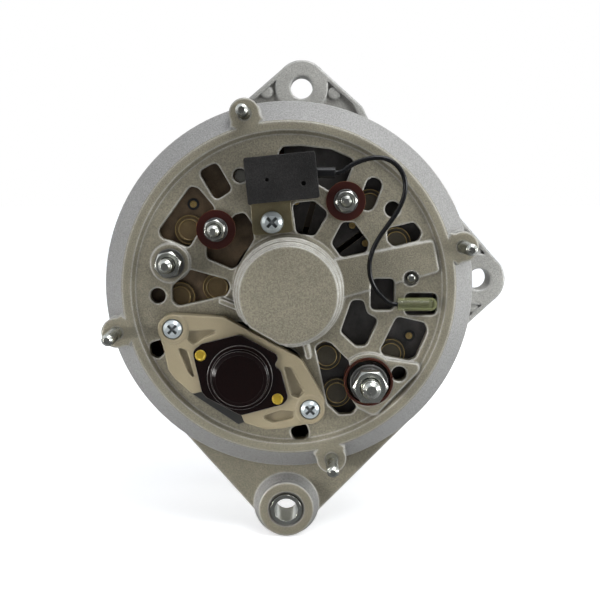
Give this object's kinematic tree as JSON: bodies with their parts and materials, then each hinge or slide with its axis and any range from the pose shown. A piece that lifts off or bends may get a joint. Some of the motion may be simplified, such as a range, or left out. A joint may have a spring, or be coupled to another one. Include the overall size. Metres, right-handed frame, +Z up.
{
  "type": "truck alternator",
  "caption": "Claw-pole alternator with a vented rear casting, outside regulator and condenser, threaded terminals, mounting ears, fan and twin-groove belt pulley.",
  "frame": {"origin": "on the shaft's axis, midway between the two belt grooves", "axes": "+Y along the shaft from the slip-ring end to the pulley, +Z up towards the top adjusting ear, +X to the right when the rear face is looked at"},
  "size_m": [0.1795, 0.183, 0.2119],
  "materials": {
    "cast_rear": "rough",
    "cast_drive": "rough",
    "laminated_iron": "satin",
    "winding_copper": "gloss",
    "sink_brown": "satin",
    "sink_dark": "satin",
    "diode_bronze": "satin",
    "diode_dark": "satin",
    "board_brown": "satin",
    "black_moulding": "matte",
    "fibre_maroon": "matte",
    "zinc_plate": "bright",
    "cream_moulding": "matte",
    "black_gloss": "gloss",
    "brass": "satin",
    "black_matte": "matte",
    "yellow_zinc": "satin",
    "black_rubber": "satin",
    "clear_sleeve": "gloss",
    "bearing_steel": "polished",
    "ground_steel": "satin",
    "forged_iron": "satin",
    "green_moulding": "matte",
    "ring_copper": "polished",
    "fan_steel": "satin",
    "pulley_iron": "satin",
    "spring_steel": "satin",
    "carbon": "matte"
  },
  "bodies": {
    "alternator": {"rear_shield": "cast_rear", "drive_shield": "cast_drive", "stator_core": "laminated_iron", "stator_windings": "winding_copper", "negative_heat_sink": "sink_brown", "positive_heat_sink": "sink_dark", "negative_diodes": "diode_bronze", "positive_diodes": "diode_dark", "exciter_board": "board_brown", "exciter_diodes": "black_moulding", "sink_insulators": "fibre_maroon", "inner_screws": "zinc_plate", "battery_stud": "zinc_plate", "battery_insulator": "fibre_maroon", "ground_stud": "zinc_plate", "small_studs": "zinc_plate", "terminal_insulators": "fibre_maroon", "terminal_nuts": "zinc_plate", "terminal_washers": "zinc_plate", "pad_stud": "zinc_plate", "through_bolts": "zinc_plate", "brush_holder": "cream_moulding", "pan_head_screws": "zinc_plate", "regulator": "black_gloss", "regulator_rivets": "brass", "regulator_seal": "black_moulding", "condenser": "black_matte", "condenser_bracket": "yellow_zinc", "condenser_boot": "black_rubber", "condenser_lead": "black_rubber", "lead_sleeve": "clear_sleeve", "lead_receptacle": "brass", "lead_tab": "brass", "rear_bearing_outer": "bearing_steel", "front_bearing_outer": "bearing_steel", "bearing_retainer": "zinc_plate", "brush_spring_rear": "spring_steel", "brush_spring_front": "spring_steel"},
    "rotor": {"shaft": "ground_steel", "rear_pole": "forged_iron", "front_pole": "forged_iron", "field_coil": "winding_copper", "coil_bobbin": "green_moulding", "slip_ring_hub": "board_brown", "slip_rings": "ring_copper", "rear_bearing_inner": "bearing_steel", "front_bearing_inner": "bearing_steel", "spacer": "ground_steel", "fan": "fan_steel", "pulley": "pulley_iron", "shaft_key": "ground_steel", "spring_washer": "spring_steel", "pulley_nut": "yellow_zinc"},
    "rear_ball_set": {"rear_balls": "bearing_steel"},
    "front_ball_set": {"front_balls": "bearing_steel"},
    "rear_brush": {"brush_rear": "carbon"},
    "front_brush": {"brush_front": "carbon"},
    "sliding_sleeve": {"pivot_sleeve": "zinc_plate"}
  },
  "joints": [
    {"name": "rotor_spin", "type": "hinge", "parent": "alternator", "child": "rotor", "pos_m": [0, 0, 0], "axis": [0, 1, 0], "continuous": true},
    {"name": "rear_balls_roll", "type": "hinge", "parent": "alternator", "child": "rear_ball_set", "pos_m": [0, -0.1485, 0], "axis": [0, 1, 0], "continuous": true},
    {"name": "front_balls_roll", "type": "hinge", "parent": "alternator", "child": "front_ball_set", "pos_m": [0, -0.046, 0], "axis": [0, 1, 0], "continuous": true},
    {"name": "rear_brush_slide", "type": "slide", "parent": "alternator", "child": "rear_brush", "axis": [-0.5075, 0, -0.8616], "range_m": [0, 0.004], "stiffness_N_per_m": 250, "springref_m": -0.01, "deforming": ["brush_spring_rear"]},
    {"name": "front_brush_slide", "type": "slide", "parent": "alternator", "child": "front_brush", "axis": [-0.5075, 0, -0.8616], "range_m": [0, 0.004], "stiffness_N_per_m": 250, "springref_m": -0.01, "deforming": ["brush_spring_front"]},
    {"name": "sleeve_slide", "type": "slide", "parent": "alternator", "child": "sliding_sleeve", "axis": [0, 1, 0], "range_m": [-0.0015, 0.0015]}
  ],
  "couplings": [
    {"joint": "rear_balls_roll", "follows": "rotor_spin", "ratio": 0.38},
    {"joint": "front_balls_roll", "follows": "rotor_spin", "ratio": 0.353}
  ]
}
